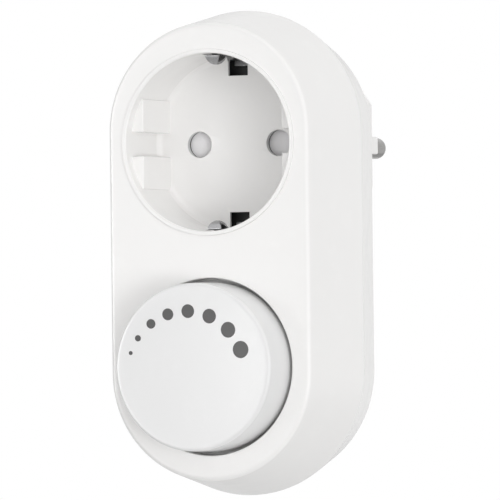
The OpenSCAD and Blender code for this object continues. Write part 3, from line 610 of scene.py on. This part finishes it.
def makeEarthClip():
    half, corner = earthClip["width"] / 2, earthClip["cornerRound"]
    armZ, bar, size = earthClip["armZ"], earthClip["barDepth"], earthClip["noseReach"]
    noseDepth, noseZ, noseDrop = earthClip["noseDepth"], earthClip["noseZ"], earthClip["noseDrop"]
    path = [(bar, 0), (bar, earthClip["barRow"])]
    cornerArc = arcPoints(armZ - corner, bar - corner, corner, 90, 0, earthClip["cornerSteps"])
    path += [(d, z) for z, d in cornerArc] + [(bar - earthClip["armRow"], armZ)]
    path += [(noseDepth + size + behind, armZ - drop) for behind, drop in earthClip["bend"]]
    nose = []
    for step in range(earthClip["noseSteps"] + 1):
        turn = math.radians(earthClip["noseTurn"]) * step / earthClip["noseSteps"]
        nose.append((noseDepth + size * math.cos(turn), noseZ - noseDrop * math.sin(turn)))
    piece = emptyPiece("earthClip")
    drawLine([place(-earthClip["tongueWidth"], d, z) for d, z in earthClip["tongue"]])
    extrudeBy(2 * earthClip["tongueWidth"], 0, 0)
    drawLine([place(-half, d, z) for d, z in path + nose])
    for row in range(earthClip["rows"]):
        extrudeBy(2 * half / earthClip["rows"], 0, 0)
    # each row across the nose is narrowed towards the tip
    for d, z in nose:
        drop = (noseZ - z) / noseDrop
        width = earthClip["noseWidth"] * math.sqrt(1 - earthClip["noseTaper"] * drop ** 2)
        bpy.ops.mesh.select_all(action="DESELECT")
        cage = bmesh.from_edit_mesh(piece.data)
        for vert in cage.verts:
            x, depth, height = measured(vert.co)
            vert.select_set(abs(depth - d) < near and abs(height - z) < near)
        bmesh.update_edit_mesh(piece.data)
        bpy.ops.transform.resize(value=(width / half, 1, 1), center_override=(0, 0, 0))
    bpy.ops.object.mode_set(mode="OBJECT")
    copyPiece(piece, "earthClipLower", (0, 0, 0))
    bpy.ops.object.mode_set(mode="EDIT")
    bpy.ops.mesh.select_all(action="SELECT")
    bpy.ops.transform.rotate(value=math.pi, orient_axis="Y", center_override=(0, 0, 0))
    bpy.ops.object.mode_set(mode="OBJECT")
    piece.select_set(True)
    bpy.context.view_layer.objects.active = piece
    bpy.ops.object.join()
    bpy.ops.object.mode_set(mode="EDIT")
    closeSeams()
    bpy.ops.object.mode_set(mode="OBJECT")
    applyModifier(piece, "SOLIDIFY", thickness=earthClip["thick"] * mm, offset=0)
    bevelSharp(piece, earthClip["edge"], earthClip["edgeSteps"], earthClip["edgeAngle"])
    smoothPiece(piece, earthClip["smoothAngle"])
    hangOn(piece, "housing", "spring_steel", "socket_earth_clip")
    return piece


dimmerKnob = {
    "z": -49.2, "radius": 18.5, "height": 9.6, "draft": 1, "round": 0.7, "rim": 0.4, "dish": 0.5,
    "skirt": 2.6, "wall": 1.8, "hub": 5, "hubEnd": 2.3, "bore": 3.05, "boreEnd": -6.1,
    "dishSteps": 9, "roundSteps": 8, "sides": 192,
}


# the radius of the dish, and how deep the dished face lies at a distance from the knob's axis
def dishDepth(radius):
    edge = dimmerKnob["radius"] - dimmerKnob["height"] * math.tan(math.radians(dimmerKnob["draft"]))
    edge -= dimmerKnob["round"] + dimmerKnob["rim"]
    sphere = (edge ** 2 + dimmerKnob["dish"] ** 2) / (2 * dimmerKnob["dish"])
    return edge, dimmerKnob["dish"] - dimmerKnob["height"] - sphere + math.sqrt(sphere ** 2 - radius ** 2)


def makeKnob():
    slope = math.tan(math.radians(dimmerKnob["draft"]))
    height, size, wall = dimmerKnob["height"], dimmerKnob["round"], dimmerKnob["wall"]
    radius, skirt, hub, bore = (dimmerKnob[key] for key in ("radius", "skirt", "hub", "bore"))
    edge = dishDepth(0)[0]
    top = radius - height * slope
    flat = top - size * math.tan(math.radians((90 - dimmerKnob["draft"]) / 2))
    under = wall + dimmerKnob["dish"] - height
    profile = []
    for step in range(dimmerKnob["dishSteps"] + 1):
        out = edge * step / dimmerKnob["dishSteps"]
        profile.append((out, dishDepth(out)[1]))
    profile += arcPoints(flat, size - height, size, -90, -dimmerKnob["draft"], dimmerKnob["roundSteps"])
    profile += [(radius, 0), (radius, skirt), (radius - wall, skirt), (radius - wall, 0)]
    profile += [(radius - wall + under * slope, under), (hub, under)]
    profile += [(hub, dimmerKnob["hubEnd"]), (bore, dimmerKnob["hubEnd"])]
    profile += [(bore, dimmerKnob["boreEnd"]), (0, dimmerKnob["boreEnd"])]
    piece = emptyPiece("dimmerKnob")
    spinRound(profile, 0, dimmerKnob["z"], dimmerKnob["sides"])
    closeSeams()
    smoothPiece(piece)
    hangOn(piece, "knob", "white_plastic", "dimmer_knob")
    return piece


# eight printed dots that grow clockwise, on a ring a little off the knob's axis
levelDots = {
    "ring": 14.1, "midX": -1.6, "midZ": -1.89, "proud": 0.02, "clear": 0.5, "sides": 40, "rings": 3,
    "turns": (158.7, 143.8, 125.8, 107.4, 87.8, 66.6, 44.7, 23.4),
    "sizes": (0.9, 1.4, 2.1, 2.6, 3.0, 3.2, 3.45, 3.75),
}


def makeLevelDots(knob):
    piece = emptyPiece("levelDots")
    for turn, size in zip(levelDots["turns"], levelDots["sizes"]):
        x = levelDots["midX"] + levelDots["ring"] * math.cos(math.radians(turn))
        z = levelDots["midZ"] + levelDots["ring"] * math.sin(math.radians(turn))
        above = place(x, -dimmerKnob["height"] - levelDots["clear"], dimmerKnob["z"] + z)
        bpy.ops.mesh.primitive_circle_add(
            vertices=levelDots["sides"], radius=size / 2 * mm, fill_type="NGON",
            location=above, rotation=(math.pi / 2, 0, 0),
        )
        for ring in range(levelDots["rings"]):
            bpy.ops.mesh.inset(thickness=size / 2 / (levelDots["rings"] + 1) * mm)
    bpy.ops.object.mode_set(mode="OBJECT")
    applyModifier(
        piece, "SHRINKWRAP", target=knob, wrap_method="PROJECT", use_project_y=True,
        use_negative_direction=True, use_positive_direction=True,
    )
    bpy.ops.object.mode_set(mode="EDIT")
    bpy.ops.mesh.select_all(action="SELECT")
    bpy.ops.mesh.normals_make_consistent(inside=False)
    extrudeBy(0, -levelDots["proud"], 0)
    bpy.ops.object.mode_set(mode="OBJECT")
    smoothPiece(piece)
    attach(piece, "knob")
    return piece


frontPiece = makeFrontCover()
backPiece = makeBackCover()
print("housing modelled")
basePiece = makePlugBase()
pinPieces = makePlugPins()
print("plug modelled")
cupPiece = makeSocketCup()
# rings of painted shade and painted shadow in the pin holes
shadeSleevePieces = makePinRings(pinShadeSleeve)
shadowCollarPieces = makePinRings(pinShadowCollar)
clipPiece = makeEarthClip()
print("socket modelled")
knobPiece = makeKnob()
dotsPiece = makeLevelDots(knobPiece)
print("knob and dots modelled")


# a shader group with its named inputs and outputs
def newGroup(name, inputs, outputs):
    group = bpy.data.node_groups.new(name, "ShaderNodeTree")
    for label, kind in inputs:
        group.interface.new_socket(name=label, in_out="INPUT", socket_type=kind)
    for label, kind in outputs:
        group.interface.new_socket(name=label, in_out="OUTPUT", socket_type=kind)
    return group, group.nodes.new("NodeGroupInput"), group.nodes.new("NodeGroupOutput")


def addNode(tree, kind, **settings):
    node = tree.nodes.new(kind)
    for key, value in settings.items():
        setattr(node, key, value)
    return node


def addNoise(tree, coordinates, scale, detail, roughness=0.5):
    noise = addNode(tree, "ShaderNodeTexNoise")
    noise.inputs["Scale"].default_value = scale
    noise.inputs["Detail"].default_value = detail
    noise.inputs["Roughness"].default_value = roughness
    tree.links.new(coordinates, noise.inputs["Vector"])
    return noise


def addRange(tree, value, low, high, toLow, toHigh):
    spread = addNode(tree, "ShaderNodeMapRange")
    for label, amount in (("From Min", low), ("From Max", high), ("To Min", toLow), ("To Max", toHigh)):
        spread.inputs[label].default_value = amount
    tree.links.new(value, spread.inputs["Value"])
    return spread.outputs["Result"]


def addMath(tree, operation, first, second):
    sums = addNode(tree, "ShaderNodeMath", operation=operation)
    for socket, value in zip(sums.inputs, (first, second)):
        if isinstance(value, (int, float)):
            socket.default_value = value
        else:
            tree.links.new(value, socket)
    return sums.outputs["Value"]


def addMix(tree, factor, first, second):
    mix = addNode(tree, "ShaderNodeMix", data_type="RGBA")
    tree.links.new(factor, mix.inputs["Factor"])
    for socket, value in ((mix.inputs["A"], first), (mix.inputs["B"], second)):
        if isinstance(value, tuple):
            socket.default_value = (*value, 1)
        else:
            tree.links.new(value, socket)
    return mix.outputs["Result"]


color, number = "NodeSocketColor", "NodeSocketFloat"
noiseSpread = (0.3, 0.7)    # most of a noise lies between these

# noises by scale, detail and roughness
skinLook = {
    "patches": (38, 3), "handled": (160, 4, 0.65), "grain": (1, 2, 0.6),
    "rubbedSpread": (0.55, 0.75), "sheen": 0.045, "polish": 0.08, "bumpDepth": 0.02,
}


# moulded plastic: faint flow patches, fine spark grain and places rubbed glossier
def makeMouldedSkin():
    group, given, result = newGroup(
        "mouldedSkin",
        (("Base", color), ("Patch", color), ("Worn", color), ("Grain", number), ("Gloss", number)),
        (("Color", color), ("Roughness", number), ("Height", number)),
    )
    spot = addNode(group, "ShaderNodeTexCoord").outputs["Object"]
    patches = addNoise(group, spot, *skinLook["patches"]).outputs["Fac"]
    patched = addRange(group, patches, *noiseSpread, 0, 1)
    handled = addNoise(group, spot, *skinLook["handled"]).outputs["Fac"]
    grain = addNoise(group, spot, *skinLook["grain"])
    group.links.new(given.outputs["Grain"], grain.inputs["Scale"])
    rubbed = addRange(group, handled, *skinLook["rubbedSpread"], 0, 1)
    tone = addMix(group, patched, given.outputs["Base"], given.outputs["Patch"])
    group.links.new(addMix(group, rubbed, tone, given.outputs["Worn"]), result.inputs["Color"])
    change = addRange(group, handled, *noiseSpread, -skinLook["sheen"], skinLook["sheen"])
    sheen = addMath(group, "ADD", given.outputs["Gloss"], change)
    polish = addMath(group, "MULTIPLY", rubbed, skinLook["polish"])
    group.links.new(addMath(group, "SUBTRACT", sheen, polish), result.inputs["Roughness"])
    group.links.new(grain.outputs["Fac"], result.inputs["Height"])
    return group


metalLook = {
    "streaks": (1, 4, 0.6), "streakTones": (0.5, 1), "tarnish": (210, 5, 0.6),
    "tarnishSpread": (0.35, 0.7), "sheen": 0.07, "dulling": 0.08, "bumpDepth": 0.01,
}


# metal: streaks along the way it was drawn or rolled, and faint tarnish
def makeDrawnMetal():
    ways = (("Across", "X"), ("Along", "Y"), ("Up", "Z"))
    group, given, result = newGroup(
        "drawnMetal",
        (("Bright", color), ("Dull", color), *((label, number) for label, axis in ways), ("Gloss", number)),
        (("Color", color), ("Roughness", number), ("Height", number)),
    )
    spot = addNode(group, "ShaderNodeTexCoord").outputs["Object"]
    stretch = addNode(group, "ShaderNodeCombineXYZ")
    for label, axis in ways:
        group.links.new(given.outputs[label], stretch.inputs[axis])
    scaled = addNode(group, "ShaderNodeVectorMath", operation="MULTIPLY")
    group.links.new(spot, scaled.inputs[0])
    group.links.new(stretch.outputs["Vector"], scaled.inputs[1])
    streaks = addNoise(group, scaled.outputs["Vector"], *metalLook["streaks"]).outputs["Fac"]
    tarnish = addNoise(group, spot, *metalLook["tarnish"]).outputs["Fac"]
    spots = addRange(group, tarnish, *metalLook["tarnishSpread"], 0, 1)
    drawn = addRange(group, streaks, *noiseSpread, *metalLook["streakTones"])
    tone = addMath(group, "MULTIPLY", spots, drawn)
    shaded = addMix(group, tone, given.outputs["Bright"], given.outputs["Dull"])
    group.links.new(shaded, result.inputs["Color"])
    change = addRange(group, streaks, *noiseSpread, -metalLook["sheen"], metalLook["sheen"])
    sheen = addMath(group, "ADD", given.outputs["Gloss"], change)
    dulled = addMath(group, "MULTIPLY", tone, metalLook["dulling"])
    group.links.new(addMath(group, "ADD", sheen, dulled), result.inputs["Roughness"])
    group.links.new(streaks, result.inputs["Height"])
    return group


mouldedSkin = makeMouldedSkin()
drawnMetal = makeDrawnMetal()


def newMaterial(name):
    material = bpy.data.materials.new(name)
    material.use_nodes = True
    tree = material.node_tree
    return material, tree, tree.nodes["Principled BSDF"]


def addBump(tree, shader, height, strength, distance):
    bump = addNode(tree, "ShaderNodeBump")
    bump.inputs["Strength"].default_value = strength
    bump.inputs["Distance"].default_value = distance * mm
    tree.links.new(height, bump.inputs["Height"])
    tree.links.new(bump.outputs["Normal"], shader.inputs["Normal"])


def shade(base, change):
    return tuple(min(max(part * change, 0), 1) for part in base)


def plastic(name, base, gloss, grain=2600, bump=0.03, patch=0.99, worn=1.012):
    material, tree, shader = newMaterial(name)
    skin = addNode(tree, "ShaderNodeGroup", node_tree=mouldedSkin)
    for label, tone in (("Base", base), ("Patch", shade(base, patch)), ("Worn", shade(base, worn))):
        skin.inputs[label].default_value = (*tone, 1)
    skin.inputs["Grain"].default_value = grain
    skin.inputs["Gloss"].default_value = gloss
    tree.links.new(skin.outputs["Color"], shader.inputs["Base Color"])
    tree.links.new(skin.outputs["Roughness"], shader.inputs["Roughness"])
    addBump(tree, shader, skin.outputs["Height"], bump, skinLook["bumpDepth"])
    return material


def metal(name, bright, dull, gloss, across=500, along=500, up=500, bump=0.1):
    material, tree, shader = newMaterial(name)
    shader.inputs["Metallic"].default_value = 1
    skin = addNode(tree, "ShaderNodeGroup", node_tree=drawnMetal)
    skin.inputs["Bright"].default_value = (*bright, 1)
    skin.inputs["Dull"].default_value = (*dull, 1)
    for label, amount in (("Across", across), ("Along", along), ("Up", up), ("Gloss", gloss)):
        skin.inputs[label].default_value = amount
    tree.links.new(skin.outputs["Color"], shader.inputs["Base Color"])
    tree.links.new(skin.outputs["Roughness"], shader.inputs["Roughness"])
    addBump(tree, shader, skin.outputs["Height"], bump, metalLook["bumpDepth"])
    return material


boardLook = {
    "cells": 260, "trackSpread": (0.42, 0.5), "track": (0.05, 0.23, 0.07), "weave": (900, 3),
    "lacquer": ((0.012, 0.11, 0.035), (0.018, 0.14, 0.05)), "gloss": (0.28, 0.42), "bump": (0.3, 0.04),
}


# circuit board: green lacquer over copper tracks
def boardMaterial():
    material, tree, shader = newMaterial("boardLacquer")
    spot = addNode(tree, "ShaderNodeTexCoord").outputs["Object"]
    cells = addNode(tree, "ShaderNodeTexVoronoi", distance="CHEBYCHEV", feature="F1")
    cells.inputs["Scale"].default_value = boardLook["cells"]
    tree.links.new(spot, cells.inputs["Vector"])
    tracks = addRange(tree, cells.outputs["Distance"], *boardLook["trackSpread"], 0, 1)
    weave = addNoise(tree, spot, *boardLook["weave"]).outputs["Fac"]
    lacquer = addMix(tree, weave, *boardLook["lacquer"])
    tree.links.new(addMix(tree, tracks, lacquer, boardLook["track"]), shader.inputs["Base Color"])
    tree.links.new(addRange(tree, weave, *noiseSpread, *boardLook["gloss"]), shader.inputs["Roughness"])
    addBump(tree, shader, tracks, *boardLook["bump"])
    return material


windingLook = {
    "turns": 330, "waver": 0.6, "lacquer": ((0.22, 0.06, 0.02), (0.62, 0.24, 0.1)),
    "gloss": (0.45, 0.25), "bump": (0.6, 0.2),
}


# wound wire: lacquered turns side by side
def windingMaterial():
    material, tree, shader = newMaterial("woundCopper")
    shader.inputs["Metallic"].default_value = 1
    spot = addNode(tree, "ShaderNodeTexCoord").outputs["Object"]
    turns = addNode(tree, "ShaderNodeTexWave", bands_direction="DIAGONAL")
    turns.inputs["Scale"].default_value = windingLook["turns"]
    turns.inputs["Distortion"].default_value = windingLook["waver"]
    tree.links.new(spot, turns.inputs["Vector"])
    wave = turns.outputs["Fac"]
    tree.links.new(addMix(tree, wave, *windingLook["lacquer"]), shader.inputs["Base Color"])
    tree.links.new(addRange(tree, wave, 0, 1, *windingLook["gloss"]), shader.inputs["Roughness"])
    addBump(tree, shader, wave, *windingLook["bump"])
    return material


glassLook = {
    "clear": 0.9, "bending": 1.5, "haze": (300, 4), "tones": ((0.9, 0.93, 0.92), (0.97, 0.98, 0.98)),
    "gloss": (0.03, 0.12),
}


# clear glass with a faint haze
def glassMaterial():
    material, tree, shader = newMaterial("fuseGlass")
    shader.inputs["Transmission Weight"].default_value = glassLook["clear"]
    shader.inputs["IOR"].default_value = glassLook["bending"]
    spot = addNode(tree, "ShaderNodeTexCoord").outputs["Object"]
    haze = addNoise(tree, spot, *glassLook["haze"]).outputs["Fac"]
    tree.links.new(addMix(tree, haze, *glassLook["tones"]), shader.inputs["Base Color"])
    tree.links.new(addRange(tree, haze, *noiseSpread, *glassLook["gloss"]), shader.inputs["Roughness"])
    return material


white = (0.906, 0.899, 0.89)
finishes = {
    "white_plastic": plastic("whiteHousing", white, 0.25),
    "pale_plastic": plastic("paleShutter", (0.95, 0.94, 0.95), 0.4),
    "dark_plastic": plastic("darkCarrier", (0.02, 0.02, 0.021), 0.5, patch=0.8, worn=1.6),
    "grey_plastic": plastic("greyShaft", (0.45, 0.46, 0.47), 0.45, patch=0.93),
    "pot_plastic": plastic("potBlack", (0.035, 0.037, 0.042), 0.5, patch=0.85, worn=1.5),
    "board": boardMaterial(),
    "capacitor_box": plastic("capacitorYellow", (0.72, 0.5, 0.06), 0.42, patch=0.94),
    "resistor": plastic("resistorLacquer", (0.55, 0.42, 0.27), 0.4, grain=1800, patch=0.9),
    "brown_wire": plastic("brownSleeving", (0.16, 0.06, 0.025), 0.45, patch=0.9),
    "black_wire": plastic("blackSleeving", (0.018, 0.018, 0.018), 0.45, patch=0.85, worn=1.5),
    "blue_wire": plastic("blueSleeving", (0.03, 0.11, 0.42), 0.45, patch=0.9),
    "spring_steel": metal(
        "springSteel", (0.44, 0.44, 0.45), (0.34, 0.34, 0.345), 0.27, up=2400, across=300, along=300,
    ),
    "nickel": metal(
        "nickelPin", (0.27, 0.265, 0.26), (0.16, 0.155, 0.15), 0.2, across=3000, up=3000, along=120,
    ),
    "contact_brass": metal("contactBrass", (0.78, 0.57, 0.24), (0.6, 0.42, 0.17), 0.3),
    "copper": windingMaterial(),
    "ferrite": plastic("ferriteCore", (0.05, 0.05, 0.054), 0.6, grain=1400, bump=0.3, patch=0.75, worn=1.5),
    "aluminium": metal("rolledAluminium", (0.8, 0.8, 0.81), (0.66, 0.66, 0.67), 0.34, across=120, up=3200),
    "fuse_glass": glassMaterial(),
    "zinc_screw": metal(
        "zincScrew", (0.62, 0.62, 0.62), (0.45, 0.45, 0.44), 0.35, across=900, up=900, along=900,
    ),
}
# the knob's white is the housing's white painted darker: painted shade, for the darker look of its face in
# the light
knobShadedWhite = plastic("shadedKnobWhite", (0.832, 0.832, 0.832), 0.25)
# a grey that paints the shade on the pin holes' walls
paintedShadeGrey = plastic("paintedShadeSleeve", (0.62, 0.62, 0.62), 0.45)
dotInk = plastic("greyDotInk", (0.066, 0.064, 0.064), 0.42, grain=5200, bump=0.1, patch=0.94)


def paint(piece, material):
    piece.data.materials.clear()
    piece.data.materials.append(material)


for piece in (frontPiece, backPiece, basePiece, cupPiece):
    paint(piece, finishes["white_plastic"])
paint(knobPiece, knobShadedWhite)
# the grey rings are painted shade and the dark rings painted shadow in the pin holes
for piece in shadeSleevePieces:
    paint(piece, paintedShadeGrey)
for piece in shadowCollarPieces:
    paint(piece, finishes["dark_plastic"])
for piece in pinPieces:
    paint(piece, finishes["nickel"])
paint(clipPiece, finishes["spring_steel"])
paint(dotsPiece, dotInk)

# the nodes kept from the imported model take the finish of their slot
nodeSlots = {
    "safety_shutter": "pale_plastic", "shutter_spring": "spring_steel", "contact_carrier": "dark_plastic",
    "live_contact": "contact_brass", "neutral_contact": "contact_brass", "earth_link": "spring_steel",
    "plug_earth_strap": "spring_steel", "pot_shaft": "grey_plastic", "pot_body": "pot_plastic",
    "pot_nut": "spring_steel", "pot_terminals": "spring_steel", "circuit_board": "board",
    "choke_core": "ferrite", "choke_winding": "copper", "capacitor": "capacitor_box",
    "triac": "dark_plastic", "heat_sink": "aluminium", "fuse_tube": "fuse_glass",
    "fuse_caps": "nickel", "fuse_clips": "contact_brass",
    "driver_chip": "dark_plastic", "resistors": "resistor", "line_wire": "brown_wire",
    "load_wire": "black_wire", "neutral_wire": "blue_wire", "housing_screws": "zinc_screw",
}
for node, slot in nodeSlots.items():
    paint(frame["nodes"][node], finishes[slot])
print("parts painted:", len(nodeSlots), "kept nodes")

# a pale floor well below, since the housing hangs by its plug, and soft light from the world alone:
# a softbox has its way, strength and how narrow it is, and a reflector its way, strength, the leans
# between which it fades in, and the heights between which its foot does
studio = {
    "floorZ": -3, "floorSize": 18, "sky": 0.3, "mirror": 1.08,
    "softboxes": (
        ((0.683, -0.683, -0.259), 3.05, 12),
        ((0.749, -0.629, -0.208), 7.8, 50),
        ((0.557, -0.663, 0.5), 0.9, 12),
        ((0, -0.174, 0.985), 1.26, 6),
        ((-0.906, -0.423, 0), 0.85, 12),
        ((-0.416, 0.893, 0.174), 1, 8),
        ((0.174, -0.985, 0), 0.1, 6),
    ),
    "reflectors": (
        ((-0.759, -0.637, -0.139), 7.5, (0.87, 0.961), (-0.17, -0.1)),
        ((-0.386, 0.922, 0.01), -0.4, (0.94, 0.996), (-2, -1)),
    ),
}
leaveEdit()
bpy.ops.mesh.primitive_plane_add(size=studio["floorSize"], location=(0, 0, studio["floorZ"]))
floor = bpy.context.object
floor.name = "floor"
bpy.ops.object.transform_apply(location=True, rotation=True, scale=True)
paint(floor, plastic("paleFloor", (0.82, 0.82, 0.82), 0.7, grain=60, bump=0.02))


# how far a way through the sky leans to a given one
def addLean(tree, way, toward):
    lean = addNode(tree, "ShaderNodeVectorMath", operation="DOT_PRODUCT")
    tree.links.new(way, lean.inputs[0])
    lean.inputs[1].default_value = toward
    return lean.outputs["Value"]


# a soft step from 0 to 1 between two values
def addFade(tree, value, ends):
    fade = addNode(tree, "ShaderNodeMapRange", interpolation_type="SMOOTHSTEP")
    tree.links.new(value, fade.inputs["Value"])
    fade.inputs["From Min"].default_value, fade.inputs["From Max"].default_value = ends
    return fade.outputs["Result"]


# white for the camera, softboxes round the part, a bright panel and a grey flag in its reflections
def makeSky():
    world = bpy.data.worlds.new("studioSky")
    bpy.context.scene.world = world
    world.use_nodes = True
    tree = world.node_tree
    tree.nodes.clear()
    way = addNode(tree, "ShaderNodeTexCoord").outputs["Generated"]
    light = studio["sky"]
    for toward, strength, spread in studio["softboxes"]:
        box = addMath(tree, "POWER", addMath(tree, "MAXIMUM", addLean(tree, way, toward), 0), spread)
        light = addMath(tree, "ADD", addMath(tree, "MULTIPLY", box, strength), light)
    shine = studio["mirror"]
    for toward, strength, rim, foot in studio["reflectors"]:
        within = addFade(tree, addLean(tree, way, toward), rim)
        above = addFade(tree, addLean(tree, way, (0, 0, 1)), foot)
        panel = addMath(tree, "MULTIPLY", within, above)
        shine = addMath(tree, "ADD", addMath(tree, "MULTIPLY", panel, strength), shine)
    path = addNode(tree, "ShaderNodeLightPath")
    seen = addMath(tree, "MAXIMUM", path.outputs["Is Camera Ray"], path.outputs["Is Transmission Ray"])
    for part, reached in ((shine, path.outputs["Is Glossy Ray"]), (1, seen)):
        change = addMath(tree, "MULTIPLY", addMath(tree, "SUBTRACT", part, light), reached)
        light = addMath(tree, "ADD", light, change)
    sky = addNode(tree, "ShaderNodeBackground")
    sky.inputs["Color"].default_value = (1, 1, 1, 1)
    tree.links.new(light, sky.inputs["Strength"])
    tree.links.new(sky.outputs["Background"], addNode(tree, "ShaderNodeOutputWorld").inputs["Surface"])


makeSky()
bpy.context.scene.view_settings.view_transform = "Standard"
print("studio lit")
